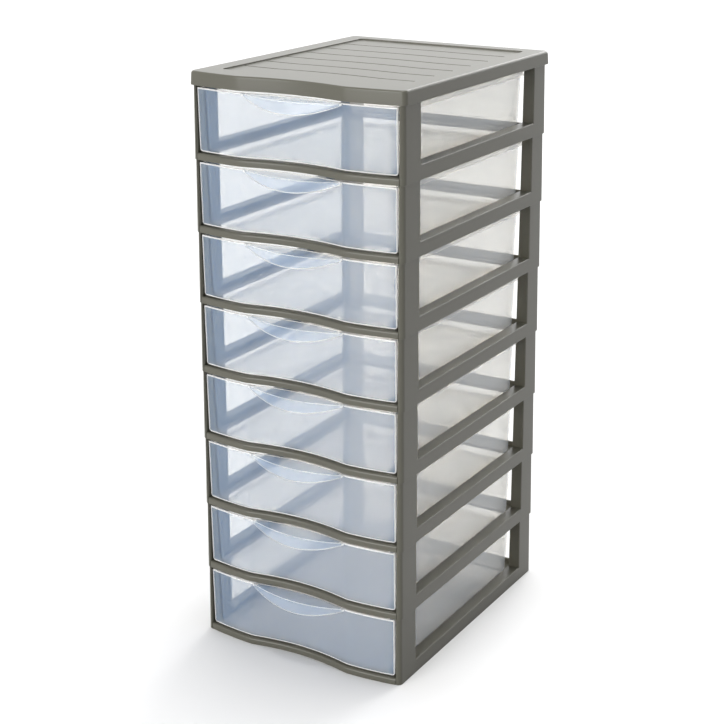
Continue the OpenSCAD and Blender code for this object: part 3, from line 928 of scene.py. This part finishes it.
def drawer_plastic(name, haze, tint, haze_share):
    """Clear plastic: light passes straight through, with a haze and gloss over it.

    The haze scatters under the surface, so lamps in front of it and behind it both light it.
    """
    looks = bpy.context.scene.tower_looks
    material, nodes, shader, output = new_material(name)
    links = material.node_tree.links
    shader.inputs["Base Color"].default_value = (*haze, 1)
    shader.inputs["Roughness"].default_value = looks.clear_rough
    shader.inputs["Subsurface Weight"].default_value = 1
    shader.inputs["Subsurface Radius"].default_value = (1, 1, 1)
    shader.inputs["Subsurface Scale"].default_value = 0.004
    clear = nodes.new("ShaderNodeBsdfTransparent")
    clear.inputs["Color"].default_value = (*tint, 1)
    mix = nodes.new("ShaderNodeMixShader")
    mix.inputs["Fac"].default_value = haze_share
    links.new(clear.outputs["BSDF"], mix.inputs[1])
    links.new(shader.outputs["BSDF"], mix.inputs[2])
    links.new(mix.outputs["Shader"], output.inputs["Surface"])
    return material


def seen_directly(tree):
    """Socket that is 1 for camera, glossy and transmission rays and 0 for the light's other rays."""
    path = tree.nodes.new("ShaderNodeLightPath")
    value = path.outputs["Is Camera Ray"]
    for other in ("Is Glossy Ray", "Is Transmission Ray"):
        either = tree.nodes.new("ShaderNodeMath")
        either.operation = "MAXIMUM"
        tree.links.new(value, either.inputs[0])
        tree.links.new(path.outputs[other], either.inputs[1])
        value = either.outputs["Value"]
    return value


def soft_sun(name, azimuth, elevation, level, spread):
    """Broad even light from one side. Level is the radiance of a white surface that faces it.

    Azimuth 0 is in front of the tower and 90 at its right; angles are in degrees.
    """
    data = bpy.data.lights.new(name, "SUN")
    data.energy, data.angle = math.pi * level, math.radians(spread)
    made = bpy.data.objects.new(name, data)
    bpy.context.scene.collection.objects.link(made)
    a, e = math.radians(azimuth), math.radians(elevation)
    towards = Vector((math.sin(a) * math.cos(e), -math.cos(a) * math.cos(e), math.sin(e)))
    made.location = 3 * towards
    made.rotation_euler = towards.to_track_quat("Z", "Y").to_euler()


def stage_floor(looks):
    """Matt floor, paler in the picture than in the light that it gives back."""
    side = 40.0
    floor = mesh_object("floor", (
        np.array([[-side, -side, 0], [side, -side, 0], [side, side, 0], [-side, side, 0]]),
        [[0, 1, 2, 3]],
    ))
    material, nodes, shader, _ = new_material("floor")
    links = material.node_tree.links
    tone = nodes.new("ShaderNodeMix")
    tone.data_type = "RGBA"
    links.new(seen_directly(material.node_tree), tone.inputs["Factor"])
    tone.inputs["A"].default_value = (*looks.floor_colour, 1)
    tone.inputs["B"].default_value = (*looks.floor_seen, 1)
    links.new(tone.outputs["Result"], shader.inputs["Base Color"])
    shader.inputs["Roughness"].default_value = 0.9
    shader.inputs["Specular IOR Level"].default_value = 0.1
    floor.data.materials.append(material)


def white_world():
    """World that looks white and gives a weak even light."""
    world = bpy.data.worlds.new("white")
    world.use_nodes = True
    bpy.context.scene.world = world
    nodes, links = world.node_tree.nodes, world.node_tree.links
    light, seen = nodes["Background"], nodes.new("ShaderNodeBackground")
    light.inputs["Strength"].default_value = 0.22
    light.inputs["Color"].default_value = (1, 1, 1, 1)
    seen.inputs["Color"].default_value = (1, 1, 1, 1)
    mix = nodes.new("ShaderNodeMixShader")
    links.new(seen_directly(world.node_tree), mix.inputs["Fac"])
    links.new(light.outputs["Background"], mix.inputs[1])
    links.new(seen.outputs["Background"], mix.inputs[2])
    links.new(mix.outputs["Shader"], nodes["World Output"].inputs["Surface"])


def photograph_camera():
    """Camera at the photograph's place, with its focal length and sideways centre in pixels.

    Its upright lens shift is smaller than the photograph's, so that other views stay usable.
    """
    frame_px, focal_px, centre_x, shift_y = 724, 1576, 364.4, 0.05
    sensor = 36
    camera = bpy.data.objects.new("camera", bpy.data.cameras.new("camera"))
    bpy.context.scene.collection.objects.link(camera)
    bpy.context.scene.camera = camera
    camera.data.sensor_width = sensor
    camera.data.lens = sensor * focal_px / frame_px
    camera.data.shift_x = -(centre_x - frame_px / 2) / frame_px
    camera.data.shift_y = -shift_y
    yaw, pitch = math.radians(31.0), math.radians(17.72)
    camera.location = (0.8496, -1.4391 + Shape().shift, 0.8696)
    camera.rotation_euler = Euler((math.pi / 2 - pitch, 0, yaw))


class TOWER_OT_stage(bpy.types.Operator):
    """Set up the floor, light and camera"""

    bl_idname = "tower.stage"
    bl_label = "Set up stage"
    bl_options = {"REGISTER", "UNDO"}

    def execute(self, context):
        scene = context.scene
        stage_floor(scene.tower_looks)
        white_world()
        soft_sun("top", 180, 84, 0.74, 30)
        soft_sun("front", -12, 6, 1.22, 40)
        soft_sun("rear", 178, 22, 0.74, 45)
        soft_sun("sheen", 211, 12, 0.05, 40)
        # Each clear wall is two faces for a ray to cross, and many walls lie behind one another
        scene.cycles.transparent_max_bounces = 40
        scene.view_settings.view_transform = "Standard"
        photograph_camera()
        return {"FINISHED"}


class TOWER_PT_panel(bpy.types.Panel):
    """Sizes, looks and buttons of the drawer tower"""

    bl_idname = "TOWER_PT_panel"
    bl_label = "Drawer tower"
    bl_space_type = "VIEW_3D"
    bl_region_type = "UI"
    bl_category = "Drawer tower"

    def draw(self, context):
        for group in (context.scene.tower_sizes, context.scene.drawer_sizes,
                      context.scene.tower_looks):
            box = self.layout.box()
            for name in group.bl_rna.properties.keys():
                if name not in ("rna_type", "name"):
                    box.prop(group, name)
        for operator in OPERATORS:
            self.layout.operator(operator.bl_idname)


GROUPS = (TowerSizes, DrawerSizes, TowerLooks)
OPERATORS = (TOWER_OT_tiers, TOWER_OT_lid, TOWER_OT_drawers, TOWER_OT_stage)


def register():
    """Add the properties, operators and panel."""
    for cls in (*GROUPS, *OPERATORS, TOWER_PT_panel):
        bpy.utils.register_class(cls)
    bpy.types.Scene.tower_sizes = PointerProperty(type=TowerSizes)
    bpy.types.Scene.drawer_sizes = PointerProperty(type=DrawerSizes)
    bpy.types.Scene.tower_looks = PointerProperty(type=TowerLooks)


def unregister():
    """Take them out again."""
    del bpy.types.Scene.tower_sizes
    del bpy.types.Scene.drawer_sizes
    del bpy.types.Scene.tower_looks
    for cls in reversed((*GROUPS, *OPERATORS, TOWER_PT_panel)):
        bpy.utils.unregister_class(cls)


def main():
    """Build everything."""
    register()
    bpy.ops.tower.tiers()
    bpy.ops.tower.lid()
    bpy.ops.tower.drawers()
    bpy.ops.tower.stage()


if __name__ == "__main__":
    main()
